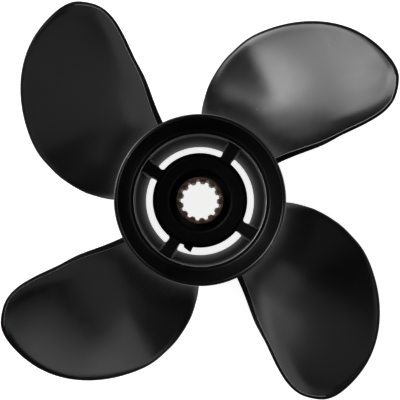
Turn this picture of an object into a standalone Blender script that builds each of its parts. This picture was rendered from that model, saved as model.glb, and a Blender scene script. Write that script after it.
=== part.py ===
"""A four-blade outboard propeller with its exhaust through the hub.

The shaft axis is +Z and the stern side is up, so the propeller stands on the front rim of its barrel.
The origin is on the shaft axis, in the plane of that rim. Seen from the stern the blades turn
anticlockwise (left-hand). Angles are measured about +Z, and a blade's own angles from its middle line.
"""

from math import asin, atan, cos, pi, radians, sin, sqrt, tan

import bmesh
import bpy

MM = 0.001
GAP = 0.3 * MM

# Whole propeller
PROPELLER_RADIUS = 131.5 * MM
PITCH = 330.0 * MM
RAKE = radians(12.0)
BLADE_COUNT = 4
FIRST_BLADE_ANGLE = radians(45.0)
HUB_LENGTH = 95.0 * MM

# Barrel, the outer tube that carries the blades
BARREL_RADIUS = 41.0 * MM
BARREL_REAR = 76.0 * MM
BARREL_BORE_FRONT = 33.0 * MM
BARREL_BORE_REAR = 36.3 * MM
RECESS_RADIUS = 38.0 * MM
RECESS_DEPTH = 7.0 * MM

# Diffuser ring, the flare at the stern end of the barrel
RING_RADIUS = 46.2 * MM
RING_WALL_FRONT = 2.25 * MM
RING_WALL_REAR = 1.9 * MM
RING_RIM_HEIGHT = 3.0 * MM

# Inner hub, the tube around the rubber
INNER_FRONT = 8.0 * MM
INNER_REAR = 74.0 * MM
INNER_RADIUS_FRONT = 27.0 * MM
INNER_RADIUS_REAR = 26.1 * MM
INNER_BORE = 21.0 * MM
FLANGE_BORE = 17.1 * MM
FLANGE_THICKNESS = 6.0 * MM
INNER_CHAMFER = 2.0 * MM

# Ribs between the two tubes
RIB_FRONT = 11.0 * MM
RIB_REAR = 75.5 * MM
RIB_HALF_WIDTH_INSIDE = 3.1 * MM
RIB_HALF_WIDTH_OUTSIDE = 3.9 * MM
RIB_DRAFT = radians(0.6)

# Pointed nib on the inner hub, beside the rib at 225 degrees: (radius, angle) of its corners
NIB_OUTLINE = (
    (24.0 * MM, radians(235.0)),
    (27.6 * MM, radians(238.5)),
    (29.5 * MM, radians(247.1)),
    (24.0 * MM, radians(250.8)),
)
NIB_FRONT = 64.0 * MM
NIB_REAR = 72.0 * MM

# Splined sleeve and the rubber bushing around it
SLEEVE_RADIUS = 12.9 * MM
SLEEVE_FRONT = 8.0 * MM
SLEEVE_REAR = 76.0 * MM
SLEEVE_CHAMFER = 0.5 * MM
SPLINE_COUNT = 13
SPLINE_MAJOR_RADIUS = 11.8 * MM
SPLINE_MINOR_RADIUS = 10.3 * MM
GROOVE_HALF_ANGLE_OUTSIDE = radians(4.6)
GROOVE_HALF_ANGLE_INSIDE = radians(8.0)
BUSHING_FRONT = 13.0 * MM
BUSHING_HOLLOW = 2.0 * MM

# Blade: its middle line at the root, its edges and its thickness
BLADE_ROOT_HEIGHT = 40.0 * MM
ROOT_FILLET = 6.0 * MM
ROOT_DEPTH = 3.0 * MM
ROOT_ROWS = (0.05, 0.18, 0.42, 1.0)
SPAN_ROWS = 20
CHORD_STEPS = 12
CUP_HEIGHT = 1.2 * MM
CUP_LENGTH = 9.0 * MM
LEADING_EDGE_THICKNESS = 1.6 * MM
TIP_THICKNESS = 1.4 * MM
# radius mm, trailing edge deg, leading edge deg, middle thickness mm, trailing edge thickness mm
BLADE_STATIONS = (
    (41.0, -27.4, 32.4, 9.5, 4.4),
    (55.0, -29.2, 31.9, 8.2, 4.3),
    (66.0, -30.9, 29.5, 7.2, 4.0),
    (74.0, -31.8, 27.0, 6.6, 3.7),
    (80.0, -32.2, 24.8, 6.1, 2.6),
    (85.0, -32.3, 22.9, 5.7, 1.8),
    (92.0, -32.4, 19.7, 5.3, 1.6),
    (100.0, -32.4, 15.9, 4.7, 1.5),
    (110.0, -31.8, 9.3, 4.0, 1.5),
    (118.0, -30.3, 3.2, 3.4, 1.4),
    (125.0, -27.4, -3.4, 2.7, 1.4),
    (130.0, -23.7, -10.9, 1.9, 1.4),
    (131.5, -18.2, -18.2, 1.4, 1.4),
)

TURNED_STEPS = 72
SMALL_TURNED_STEPS = 52


def clear_scene():
    for old in list(bpy.data.objects):
        bpy.data.objects.remove(old)


def new_collection(name):
    collection = bpy.data.collections.new(name)
    bpy.context.scene.collection.children.link(collection)
    return collection


def paint(name, colour, metallic, roughness):
    material = bpy.data.materials.new(name)
    material.use_nodes = True
    shader = material.node_tree.nodes["Principled BSDF"]
    shader.inputs["Base Color"].default_value = (*colour, 1.0)
    shader.inputs["Metallic"].default_value = metallic
    shader.inputs["Roughness"].default_value = roughness
    return material


def add_object(name, mesh, collection, material=None):
    obj = bpy.data.objects.new(name, mesh)
    collection.objects.link(obj)
    if material and not mesh.materials:
        mesh.materials.append(material)
    return obj


def make_helper(obj):
    obj.hide_render = True
    obj.display_type = "WIRE"


def turned(name, profile, steps, collection, material=None, rounding=0.0):
    """A closed profile of (radius, height), down its outer side first, turned about the shaft axis."""
    mesh = bpy.data.meshes.new(name)
    points = [(radius, 0.0, height) for radius, height in profile]
    count = len(points)
    mesh.from_pydata(points, [(i, (i + 1) % count) for i in range(count)], [])
    obj = add_object(name, mesh, collection, material)
    screw = obj.modifiers.new("turn", "SCREW")
    screw.axis = "Z"
    screw.angle = 2 * pi
    screw.steps = steps
    screw.render_steps = steps
    screw.use_merge_vertices = True
    screw.merge_threshold = 0.00001
    screw.use_smooth_shade = True
    if rounding:
        bevel = obj.modifiers.new("round", "BEVEL")
        bevel.width = rounding
        bevel.segments = 2
        bevel.limit_method = "ANGLE"
        bevel.angle_limit = radians(30.0)
    return obj


def boolean(obj, other, operation):
    modifier = obj.modifiers.new(operation.lower(), "BOOLEAN")
    modifier.operation = operation
    modifier.object = other


def flat_solid(name, outline, bottom, top, collection):
    """A flat closed outline of (x, y) points, filled and extruded between two heights."""
    curve = bpy.data.curves.new(name, "CURVE")
    curve.dimensions = "2D"
    curve.fill_mode = "BOTH"
    curve.extrude = (top - bottom) / 2
    path = curve.splines.new("POLY")
    path.points.add(len(outline) - 1)
    for point, (x, y) in zip(path.points, outline):
        point.co = (x, y, 0.0, 1.0)
    path.use_cyclic_u = True
    drawn = bpy.data.objects.new(name + "_curve", curve)
    collection.objects.link(drawn)
    mesh = bpy.data.meshes.new_from_object(drawn)
    bpy.data.objects.remove(drawn)

    builder = bmesh.new()
    builder.from_mesh(mesh)
    bmesh.ops.remove_doubles(builder, verts=builder.verts, dist=0.00001)
    bmesh.ops.recalc_face_normals(builder, faces=builder.faces)
    builder.to_mesh(mesh)
    builder.free()
    obj = add_object(name, mesh, collection)
    obj.location.z = (bottom + top) / 2
    return obj


def barrel_bore(height):
    """Radius of the barrel's inner wall, which widens towards the stern."""
    share = (height - RECESS_DEPTH) / (BARREL_REAR - RECESS_DEPTH)
    return BARREL_BORE_FRONT + share * (BARREL_BORE_REAR - BARREL_BORE_FRONT)


def inner_radius(height):
    """Outer radius of the inner hub, which narrows towards the stern."""
    share = (height - INNER_FRONT) / (INNER_REAR - INNER_FRONT)
    return INNER_RADIUS_FRONT + share * (INNER_RADIUS_REAR - INNER_RADIUS_FRONT)


def make_barrel(parts, black):
    profile = (
        (BARREL_RADIUS, BARREL_REAR),
        (BARREL_RADIUS, 0.0),
        (RECESS_RADIUS, 0.0),
        (RECESS_RADIUS, RECESS_DEPTH),
        (BARREL_BORE_FRONT, RECESS_DEPTH),
        (BARREL_BORE_REAR, BARREL_REAR),
    )
    turned("barrel", profile, TURNED_STEPS, parts, black, rounding=0.5 * MM)


def make_diffuser_ring(parts, black):
    front = BARREL_REAR + GAP
    rim = HUB_LENGTH - RING_RIM_HEIGHT
    outside = [(RING_RADIUS, HUB_LENGTH), (RING_RADIUS, rim)]
    flare_steps = 5
    for i in range(1, flare_steps + 1):
        share = i / flare_steps
        swell = (1.0 - share) ** 1.5
        radius = BARREL_RADIUS + (RING_RADIUS - BARREL_RADIUS) * swell
        outside.append((radius, rim + share * (front - rim)))
    inside = [
        (BARREL_RADIUS - RING_WALL_FRONT, front),
        (RING_RADIUS - RING_WALL_REAR, HUB_LENGTH),
    ]
    ring = outside + inside
    turned("diffuser_ring", ring, TURNED_STEPS, parts, black, rounding=0.6 * MM)


def make_inner_hub(parts, cutters, black):
    flange_front = INNER_REAR - FLANGE_THICKNESS
    profile = (
        (INNER_RADIUS_REAR - INNER_CHAMFER, INNER_REAR),
        (inner_radius(INNER_REAR - INNER_CHAMFER), INNER_REAR - INNER_CHAMFER),
        (INNER_RADIUS_FRONT, INNER_FRONT),
        (INNER_BORE + INNER_CHAMFER, INNER_FRONT),
        (INNER_BORE, INNER_FRONT + INNER_CHAMFER),
        (INNER_BORE, flange_front),
        (FLANGE_BORE, flange_front),
        (FLANGE_BORE, INNER_REAR - 0.5 * INNER_CHAMFER),
        (FLANGE_BORE + 0.5 * INNER_CHAMFER, INNER_REAR),
    )
    hub = turned("inner_hub", profile, TURNED_STEPS, parts, black)

    corners = [(radius * cos(angle), radius * sin(angle)) for radius, angle in NIB_OUTLINE]
    nib = flat_solid("nib", corners, NIB_FRONT, NIB_REAR, cutters)
    make_helper(nib)
    boolean(hub, nib, "UNION")


def make_ribs(parts, cutters, black):
    """Each rib is a tapered block, trimmed to the passage between the inner hub and the barrel."""
    passage_profile = (
        (barrel_bore(RIB_REAR) - GAP, RIB_REAR),
        (barrel_bore(RIB_FRONT) - GAP, RIB_FRONT),
        (inner_radius(RIB_FRONT) + GAP, RIB_FRONT),
        (inner_radius(RIB_REAR) + GAP, RIB_REAR),
    )
    passage = turned("passage", passage_profile, TURNED_STEPS, cutters)
    make_helper(passage)

    overlap = 4.0 * MM
    inside = INNER_RADIUS_REAR - overlap
    outside = BARREL_BORE_REAR + overlap
    low = RIB_FRONT - overlap
    high = RIB_REAR + overlap
    builder = bmesh.new()
    bmesh.ops.create_cube(builder, size=2.0)
    for vert in builder.verts:
        radius = outside if vert.co.x > 0 else inside
        height = high if vert.co.z > 0 else low
        rise = (radius - INNER_RADIUS_REAR) / (BARREL_BORE_REAR - INNER_RADIUS_REAR)
        widening = RIB_HALF_WIDTH_OUTSIDE - RIB_HALF_WIDTH_INSIDE
        half_width = RIB_HALF_WIDTH_INSIDE + rise * widening
        half_width += (RIB_REAR - height) * tan(RIB_DRAFT)
        vert.co = (radius, half_width * vert.co.y, height)
    mesh = bpy.data.meshes.new("rib")
    builder.to_mesh(mesh)
    builder.free()
    for i in range(BLADE_COUNT):
        rib = add_object(f"rib_{i + 1}", mesh, parts, black)
        rib.rotation_euler.z = FIRST_BLADE_ANGLE + i * 2 * pi / BLADE_COUNT
        boolean(rib, passage, "INTERSECT")


def spline_outline():
    """The bore's outline: a groove at the major radius, then a tooth's land at the minor radius."""
    pitch_angle = 2 * pi / SPLINE_COUNT
    outline = []
    for i in range(SPLINE_COUNT):
        middle = i * pitch_angle
        for radius, offset in (
            (SPLINE_MINOR_RADIUS, -GROOVE_HALF_ANGLE_INSIDE),
            (SPLINE_MAJOR_RADIUS, -GROOVE_HALF_ANGLE_OUTSIDE),
            (SPLINE_MAJOR_RADIUS, GROOVE_HALF_ANGLE_OUTSIDE),
            (SPLINE_MINOR_RADIUS, GROOVE_HALF_ANGLE_INSIDE),
        ):
            outline.append((radius * cos(middle + offset), radius * sin(middle + offset)))
    return outline


def make_splined_sleeve(parts, cutters, bronze):
    overrun = 5.0 * MM
    bottom = SLEEVE_FRONT - overrun
    top = SLEEVE_REAR + overrun
    cutter = flat_solid("spline_cutter", spline_outline(), bottom, top, cutters)
    make_helper(cutter)

    core = 0.5 * SPLINE_MINOR_RADIUS
    profile = (
        (SLEEVE_RADIUS - SLEEVE_CHAMFER, SLEEVE_REAR),
        (SLEEVE_RADIUS, SLEEVE_REAR - SLEEVE_CHAMFER),
        (SLEEVE_RADIUS, SLEEVE_FRONT + SLEEVE_CHAMFER),
        (SLEEVE_RADIUS - SLEEVE_CHAMFER, SLEEVE_FRONT),
        (core, SLEEVE_FRONT),
        (core, SLEEVE_REAR),
    )
    sleeve = turned("splined_sleeve", profile, SMALL_TURNED_STEPS, parts, bronze)
    boolean(sleeve, cutter, "DIFFERENCE")


def make_rubber_bushing(parts, rubber):
    """Rubber between the sleeve and the inner hub, with a shallow hollow in each end."""
    inside = SLEEVE_RADIUS + GAP
    outside = INNER_BORE - GAP
    middle = (inside + outside) / 2
    rear = INNER_REAR - FLANGE_THICKNESS - GAP
    profile = (
        (outside, rear),
        (outside, BUSHING_FRONT),
        (middle, BUSHING_FRONT + BUSHING_HOLLOW),
        (inside, BUSHING_FRONT),
        (inside, rear),
        (middle, rear - BUSHING_HOLLOW),
    )
    turned("rubber_bushing", profile, SMALL_TURNED_STEPS, parts, rubber)


def station_value(column, progress):
    """A blade station's column at progress 0 (root) to 1 (tip), on a smooth curve through the stations."""
    knots = [span_progress(row[0] * MM) for row in BLADE_STATIONS]
    values = [row[column] for row in BLADE_STATIONS]
    last = len(knots) - 1

    def slope(i):
        before = max(i - 1, 0)
        after = min(i + 1, last)
        return (values[after] - values[before]) / (knots[after] - knots[before])

    i = 0
    while i < last - 1 and progress > knots[i + 1]:
        i += 1
    width = knots[i + 1] - knots[i]
    t = (progress - knots[i]) / width
    from_start = values[i] * (2 * t**3 - 3 * t**2 + 1) + slope(i) * width * (t**3 - 2 * t**2 + t)
    from_end = values[i + 1] * (3 * t**2 - 2 * t**3) + slope(i + 1) * width * (t**3 - t**2)
    return from_start + from_end


def span_progress(radius):
    """0 at the barrel and 1 at the tip. Equal steps crowd the rows towards the rounded tip."""
    share = (radius - BARREL_RADIUS) / (PROPELLER_RADIUS - BARREL_RADIUS)
    return asin(min(max(share, 0.0), 1.0)) * 2 / pi


def root_swell(radius):
    """How far the fillet at the root stands out from the blade's own faces."""
    rise = max(radius - BARREL_RADIUS, 0.0)
    if rise >= ROOT_FILLET:
        return 0.0
    return ROOT_FILLET - sqrt(ROOT_FILLET**2 - (ROOT_FILLET - rise) ** 2)


def blade_point(radius, chord_share, suction_side):
    """A point on the blade: chord_share is 0 at the trailing edge and 1 at the leading edge."""
    progress = span_progress(radius)
    swell = root_swell(radius)
    trailing = radians(station_value(1, progress)) - swell / radius
    leading = radians(station_value(2, progress)) + swell / radius
    middle_thickness = station_value(3, progress) * MM
    trailing_thickness = station_value(4, progress) * MM
    leading_share = 1.0 - progress
    leading_thickness = TIP_THICKNESS + leading_share * (LEADING_EDGE_THICKNESS - TIP_THICKNESS)

    angle = trailing + chord_share * (leading - trailing)
    from_trailing = (angle - trailing) * radius
    cup = CUP_HEIGHT * max(0.0, 1.0 - from_trailing / CUP_LENGTH) ** 2 * min(1.0, progress * 3)
    cup *= min(1.0, (leading - trailing) * radius / (2 * CUP_LENGTH))
    height = BLADE_ROOT_HEIGHT - angle * PITCH / (2 * pi)
    height += (radius - BARREL_RADIUS) * tan(RAKE) + cup

    edge = trailing_thickness + chord_share * (leading_thickness - trailing_thickness)
    bulge = (4 * chord_share * (1 - chord_share)) ** 0.8
    thickness = edge + bulge * max(0.0, middle_thickness - edge)
    offset = thickness + swell if suction_side else -swell
    slope = atan(PITCH / (2 * pi * radius))
    angle -= offset * sin(slope) / radius
    height -= offset * cos(slope)
    return (radius * cos(angle), radius * sin(angle), height)


def blade_mesh():
    """A loft of cylinder sections from inside the barrel's wall to the tip, closed round its edges."""
    filleted = span_progress(BARREL_RADIUS + ROOT_FILLET)
    radii = [BARREL_RADIUS - ROOT_DEPTH]
    radii += [BARREL_RADIUS + share * ROOT_FILLET for share in ROOT_ROWS]
    for i in range(1, SPAN_ROWS):
        progress = filleted + (1.0 - filleted) * i / SPAN_ROWS
        reach = sin(progress * pi / 2)
        radii.append(BARREL_RADIUS + reach * (PROPELLER_RADIUS - BARREL_RADIUS))
    shares = [(1 - cos(pi * i / CHORD_STEPS)) / 2 for i in range(CHORD_STEPS + 1)]

    builder = bmesh.new()
    faces_of_blade = []
    for suction_side in (False, True):
        rows = []
        for radius in radii:
            row = [builder.verts.new(blade_point(radius, s, suction_side)) for s in shares]
            rows.append(row)
        tip = builder.verts.new(blade_point(PROPELLER_RADIUS, 0.5, suction_side))
        rows.append([tip] * len(shares))
        faces_of_blade.append(rows)
    pressure, suction = faces_of_blade

    def add_face(*corners):
        distinct = list(dict.fromkeys(corners))
        if len(distinct) > 2:
            builder.faces.new(distinct)

    for i in range(len(pressure) - 1):
        for j in range(CHORD_STEPS):
            add_face(pressure[i][j], pressure[i + 1][j], pressure[i + 1][j + 1], pressure[i][j + 1])
            add_face(suction[i][j], suction[i][j + 1], suction[i + 1][j + 1], suction[i + 1][j])
        for j in (0, CHORD_STEPS):
            add_face(pressure[i][j], suction[i][j], suction[i + 1][j], pressure[i + 1][j])
    for j in range(CHORD_STEPS):
        add_face(pressure[0][j], pressure[0][j + 1], suction[0][j + 1], suction[0][j])
    bmesh.ops.recalc_face_normals(builder, faces=builder.faces)
    mesh = bpy.data.meshes.new("blade")
    builder.to_mesh(mesh)
    builder.free()
    mesh.shade_smooth()
    mesh.set_sharp_from_angle(angle=radians(35.0))
    return mesh


def make_blades(parts, cutters, black):
    """Each blade is cut off at its root where the barrel's outer face runs."""
    root_cutter_profile = (
        (BARREL_RADIUS + GAP, 1.5 * HUB_LENGTH),
        (BARREL_RADIUS + GAP, -0.5 * HUB_LENGTH),
        (0.5 * BARREL_RADIUS, -0.5 * HUB_LENGTH),
        (0.5 * BARREL_RADIUS, 1.5 * HUB_LENGTH),
    )
    root_cutter = turned("root_cutter", root_cutter_profile, TURNED_STEPS, cutters)
    make_helper(root_cutter)

    mesh = blade_mesh()
    for i in range(BLADE_COUNT):
        blade = add_object(f"blade_{i + 1}", mesh, parts, black)
        blade.rotation_euler.z = FIRST_BLADE_ANGLE + i * 2 * pi / BLADE_COUNT
        boolean(blade, root_cutter, "DIFFERENCE")


def main():
    clear_scene()
    parts = new_collection("outboard_propeller")
    cutters = new_collection("cutters")
    black = paint("black_paint", (0.012, 0.012, 0.013), 0.0, 0.32)
    rubber = paint("black_rubber", (0.01, 0.01, 0.01), 0.0, 0.7)
    bronze = paint("bronze", (0.16, 0.09, 0.06), 0.9, 0.45)
    make_barrel(parts, black)
    make_diffuser_ring(parts, black)
    make_inner_hub(parts, cutters, black)
    make_ribs(parts, cutters, black)
    make_blades(parts, cutters, black)
    make_rubber_bushing(parts, rubber)
    make_splined_sleeve(parts, cutters, bronze)


main()
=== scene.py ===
# %% [markdown]
# # An outboard propeller, seen square on from astern
#
# The real object is one aluminium casting: a barrel, a flared ring at its stern end, an inner hub
# on four ribs, and four blades. It is sprayed with semi-gloss black paint. A rubber bushing and a
# splined bronze sleeve are pressed into the inner hub. This lesson dresses the CAD frame with
# finer meshes and with finishes that are made from nodes alone.

# %% Load the fixed frame
from math import asin, atan, atan2, cos, degrees, pi, radians, sin, sqrt, tan

import bmesh
import bpy
from mathutils import Matrix, Vector


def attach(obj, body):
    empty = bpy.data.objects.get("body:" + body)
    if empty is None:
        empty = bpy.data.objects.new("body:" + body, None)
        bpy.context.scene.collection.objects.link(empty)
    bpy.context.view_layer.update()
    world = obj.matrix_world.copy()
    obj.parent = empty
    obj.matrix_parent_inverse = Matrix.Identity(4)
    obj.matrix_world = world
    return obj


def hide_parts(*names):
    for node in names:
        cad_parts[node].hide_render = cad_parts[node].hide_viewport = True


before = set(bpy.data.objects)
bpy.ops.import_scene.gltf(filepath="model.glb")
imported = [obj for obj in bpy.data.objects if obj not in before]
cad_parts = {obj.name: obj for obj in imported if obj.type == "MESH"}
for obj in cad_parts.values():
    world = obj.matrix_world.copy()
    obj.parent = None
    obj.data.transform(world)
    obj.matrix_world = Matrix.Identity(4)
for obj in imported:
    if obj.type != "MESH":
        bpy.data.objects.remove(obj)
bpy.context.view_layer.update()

MM = 0.001
print("CAD nodes:", len(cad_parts))

# %% [markdown]
# ## Camera
#
# The photograph looks straight down the shaft from about 0.6 m behind the ring, and the camera
# stands a few millimetres off the axis, so the far end of the bore appears a little lower than
# the near end. The first blade points up and to the right. The camera comes first because every
# shape is judged through it. Its place is worked out from three directions: the picture's right,
# the picture's up, and the way back from the propeller to the camera.

# %% The camera astern of the ring
RING_PLANE = 95.0 * MM
CAMERA_DISTANCE = 600.0 * MM
CAMERA_SHIFT = (-1.0 * MM, -4.5 * MM)
PICTURE_TURN = radians(12.5)
LENS = 100.94
SENSOR_WIDTH = 36.0
NEAREST_SEEN = 0.01


def axes_matrix(place, right, up, back):
    """The matrix of a thing that stands at this place and has these three axes."""
    return Matrix.Translation(place) @ Matrix((right, up, back)).transposed().to_4x4()


def make_camera():
    place = Vector((*CAMERA_SHIFT, RING_PLANE + CAMERA_DISTANCE))
    back = (place - Vector((0.0, 0.0, RING_PLANE))).normalized()
    up = Vector((sin(PICTURE_TURN), cos(PICTURE_TURN), 0.0))
    right = up.cross(back).normalized()
    up = back.cross(right)
    camera = bpy.data.objects.new("camera", bpy.data.cameras.new("camera"))
    camera.data.lens = LENS
    camera.data.sensor_width = SENSOR_WIDTH
    camera.data.clip_start = NEAREST_SEEN
    camera.matrix_world = axes_matrix(place, right, up, back)
    bpy.context.scene.collection.objects.link(camera)
    bpy.context.scene.camera = camera
    return camera


camera = make_camera()
print("camera at", [round(x, 4) for x in camera.location])

# %% [markdown]
# ## Helpers for finishes
#
# A finish here is one Principled shader and a few nodes that feed it. Every pattern reads Object
# coordinates: each finished piece sits at the origin, so these are plain metres on the part, and
# a grain of 2 mm is 2 mm on every piece. The first helper starts a finish. The second adds a node
# and sets its values in one line, which keeps each finish short enough to read.

# %% Start a finish and add a node


def new_finish(name):
    material = bpy.data.materials.new(name)
    material.use_nodes = True
    tree = material.node_tree
    shader = tree.nodes["Principled BSDF"]
    place = tree.nodes.new("ShaderNodeTexCoord").outputs["Object"]
    return material, tree, shader, place


def node(tree, kind, settings=None, **inputs):
    made = tree.nodes.new("ShaderNode" + kind)
    for key, value in (settings or {}).items():
        setattr(made, key, value)
    for key, value in inputs.items():
        socket = made.inputs[key.replace("_", " ")]
        if isinstance(value, bpy.types.NodeSocket):
            tree.links.new(value, socket)
        else:
            socket.default_value = value
    return made


print("helpers: new_finish, node")

# %% [markdown]
# The other helpers are the steps that every finish takes: a cloud of noise whose lumps have a real
# size, a range that stretches its contrast, a blend of two colours, and a bump. Most finishes
# stretch the middle third of the cloud's greys to the full range, so that stretch has a name.

# %% Clouds, ranges, blends and bumps
WHOLE_CLOUD = (0.35, 0.65, 0.0, 1.0)


def noise(tree, place, size, detail):
    """Cloudy noise whose lumps are about this size in metres."""
    return node(tree, "TexNoise", Vector=place, Scale=1.0 / size, Detail=detail).outputs["Fac"]


def ranged(tree, value, low, high, to_low, to_high):
    return node(tree, "MapRange", Value=value, From_Min=low, From_Max=high,
                To_Min=to_low, To_Max=to_high).outputs["Result"]


def product(tree, first, second):
    made = tree.nodes.new("ShaderNodeMath")
    made.operation = "MULTIPLY"
    tree.links.new(first, made.inputs[0])
    tree.links.new(second, made.inputs[1])
    return made.outputs[0]


def blend_colours(tree, share, first, second):
    mix = tree.nodes.new("ShaderNodeMix")
    mix.data_type = "RGBA"
    for socket, value in ((0, share), (6, first), (7, second)):
        if isinstance(value, bpy.types.NodeSocket):
            tree.links.new(value, mix.inputs[socket])
        else:
            mix.inputs[socket].default_value = (*value, 1.0)
    return mix.outputs[2]


def bumped(tree, height, distance, normal=None):
    made = node(tree, "Bump", Height=height, Distance=distance)
    if normal:
        tree.links.new(normal, made.inputs["Normal"])
    return made.outputs["Normal"]


print("greys", WHOLE_CLOUD[:2], "become", WHOLE_CLOUD[2:])

# %% [markdown]
# ## Black paint
#
# The casting is sprayed black over a sanded surface. Close up, such paint has orange peel, which
# is a gentle ripple of one or two millimetres, a finer mottle in its gloss, and here and there a
# nib of dust. The colour is far darker than it looks: nearly all that the eye sees is the gloss.
# Dust and pale edge lines are laid over the coat's colour. The pale lines on sharp edges are
# rubbed wear and also a painted highlight. The Geometry node's Pointiness finds the edges, and
# some cells of a Voronoi texture hold one speck of dust each, at their middle.

# %% Dust, and rubbed edges with a painted highlight
WORN_AND_HIGHLIGHT_GREY = (0.14, 0.138, 0.135)
EDGE_SHARPNESS = (0.53, 0.60, 0.0, 1.0)
PATCH_SIZE = 5.0 * MM
PATCHY_WEAR_AND_HIGHLIGHT = (0.45, 0.7, 0.15, 0.9)
DUST_COLOUR = (0.30, 0.30, 0.29)
DUST_SPACING = 9.0 * MM
SPECK_EDGE = (0.022, 0.034, 1.0, 0.0)
CELLS_WITHOUT_DUST = 0.72


def with_wear_and_edge_highlight(tree, place, colour):
    # pale grey on sharp edges, in patches: rubbed wear, and a painted highlight line
    crease = node(tree, "NewGeometry").outputs["Pointiness"]
    sharp = ranged(tree, crease, *EDGE_SHARPNESS)
    patchy = ranged(tree, noise(tree, place, PATCH_SIZE, 4.0), *PATCHY_WEAR_AND_HIGHLIGHT)
    return blend_colours(tree, product(tree, sharp, patchy), colour, WORN_AND_HIGHLIGHT_GREY)


def with_dust(tree, place, colour):
    cells = node(tree, "TexVoronoi", Vector=place, Scale=1.0 / DUST_SPACING, Randomness=1.0)
    near = ranged(tree, cells.outputs["Distance"], *SPECK_EDGE)
    red = node(tree, "SeparateColor", Color=cells.outputs["Color"]).outputs[0]
    chosen = node(tree, "Math", {"operation": "GREATER_THAN"})
    tree.links.new(red, chosen.inputs[0])
    chosen.inputs[1].default_value = CELLS_WITHOUT_DUST
    return blend_colours(tree, product(tree, near, chosen.outputs[0]), colour, DUST_COLOUR)


print("dust specks up to", round(SPECK_EDGE[1] * DUST_SPACING * 2.0 / MM, 2), "mm across")

# %% [markdown]
# One function makes every coat, and the parts differ in a few numbers: smooth on the blades,
# rougher in the flare, and nearly flat on the inner hub, where little spray reaches. There the
# colour is also halved, as painted shade in the hub's recess. On the rim the coat is rubbed thin
# at the edges, and their pale line is also a painted highlight.

# %% Make the black paint
PAINT_BLACK = (0.0045, 0.0045, 0.0048)
PAINT_GREY = (0.0075, 0.0075, 0.0078)
PAINT_CLOUD = 28.0 * MM
MOTTLE_SIZE = 6.0 * MM
MOTTLE_GREYS = (0.3, 0.7)
ORANGE_PEEL = 1.7 * MM
PEEL_DEPTH = 0.012 * MM
GRAIN_SIZE = 0.9 * MM
GRAIN_DEPTH = 0.05 * MM
PAINT_GLOSS = (0.18, 0.22)
HUB_GLOSS = (0.27, 0.33)
INNER_GLOSS = (0.38, 0.48)


def black_paint(name, gloss, ripple=1.0, cast_grain=0.0, dust=False, edge=False, shine=0.5,
                tone=1.0):
    material, tree, shader, place = new_finish(name)
    cloud = ranged(tree, noise(tree, place, PAINT_CLOUD, 3.0), *WHOLE_CLOUD)
    darker, paler = [tuple(tone * part for part in paint) for paint in (PAINT_BLACK, PAINT_GREY)]
    colour = blend_colours(tree, cloud, darker, paler)
    if edge:
        colour = with_wear_and_edge_highlight(tree, place, colour)
    if dust:
        colour = with_dust(tree, place, colour)
    tree.links.new(colour, shader.inputs["Base Color"])
    mottle = noise(tree, place, MOTTLE_SIZE, 5.0)
    tree.links.new(ranged(tree, mottle, *MOTTLE_GREYS, *gloss), shader.inputs["Roughness"])
    normal = bumped(tree, noise(tree, place, ORANGE_PEEL, 1.5), PEEL_DEPTH * ripple)
    if cast_grain:
        grain = noise(tree, place, GRAIN_SIZE, 3.0)
        normal = bumped(tree, grain, GRAIN_DEPTH * cast_grain, normal)
    tree.links.new(normal, shader.inputs["Normal"])
    shader.inputs["Specular IOR Level"].default_value = shine
    return material


blade_paint = black_paint("black_paint_blades", PAINT_GLOSS, dust=True)
# the rim's edges get a pale line: rubbed wear, and a painted highlight
rim_paint = black_paint("black_paint_rim", PAINT_GLOSS, edge=True, shine=0.65)
hub_paint = black_paint("black_paint_hub", HUB_GLOSS, ripple=1.5, cast_grain=0.5, shine=0.35)
# the inner hub's paint is a darker copy, its colour halved: painted shade in its recess
inner_paint = black_paint("black_paint_inner", INNER_GLOSS, ripple=1.5, cast_grain=1.0,
                          shine=0.12, tone=0.5)
print("paints:", blade_paint.name, rim_paint.name, hub_paint.name, inner_paint.name)

# %% [markdown]
# The bore got a dusting of paint over marks left by the core, which are drawn out along the
# shaft. A Mapping node stretches the noise that way. The wall is glossier near the stern, where
# the spray reached in, so the height sets the roughness there.

# %% Make the bore's coat
BORE_DARK = (0.010, 0.009, 0.009)
BORE_GREY = (0.020, 0.018, 0.019)
BORE_CLOUD = 9.0 * MM
BORE_GLOSS = (0.62, 0.30)
SPRAY_REACH = (66.0 * MM, 71.0 * MM)
BORE_SHINE = 0.3
DRAWN_OUT = (1.0, 1.0, 0.04)
CORE_MARK_DEPTH = 0.10 * MM


def bore_finish(name):
    material, tree, shader, place = new_finish(name)
    cloud = ranged(tree, noise(tree, place, BORE_CLOUD, 4.0), *WHOLE_CLOUD)
    colour = blend_colours(tree, cloud, BORE_DARK, BORE_GREY)
    tree.links.new(colour, shader.inputs["Base Color"])
    height = node(tree, "SeparateXYZ", Vector=place).outputs["Z"]
    roughness = ranged(tree, height, *SPRAY_REACH, *BORE_GLOSS)
    tree.links.new(roughness, shader.inputs["Roughness"])
    drawn = node(tree, "Mapping", {"vector_type": "POINT"}, Vector=place, Scale=DRAWN_OUT)
    marks = noise(tree, drawn.outputs["Vector"], GRAIN_SIZE, 3.0)
    tree.links.new(bumped(tree, marks, CORE_MARK_DEPTH), shader.inputs["Normal"])
    shader.inputs["Specular IOR Level"].default_value = BORE_SHINE
    return material


bore_paint = bore_finish("black_paint_bore")
print("bore:", bore_paint.name)

# %% [markdown]
# Sheltered faces, such as the ribs and the blades' edges, hold a thin flat coat. On a few ridges
# a pale grey is painted on as a highlight line: the shelf's inner corner in the barrel and the
# blades' trailing ridge. An image could draw these lines too, but a second material on the ridge's
# own faces keeps its line sharp and follows the shape. All of these are flat and cloudy, so one
# function makes them.

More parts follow.
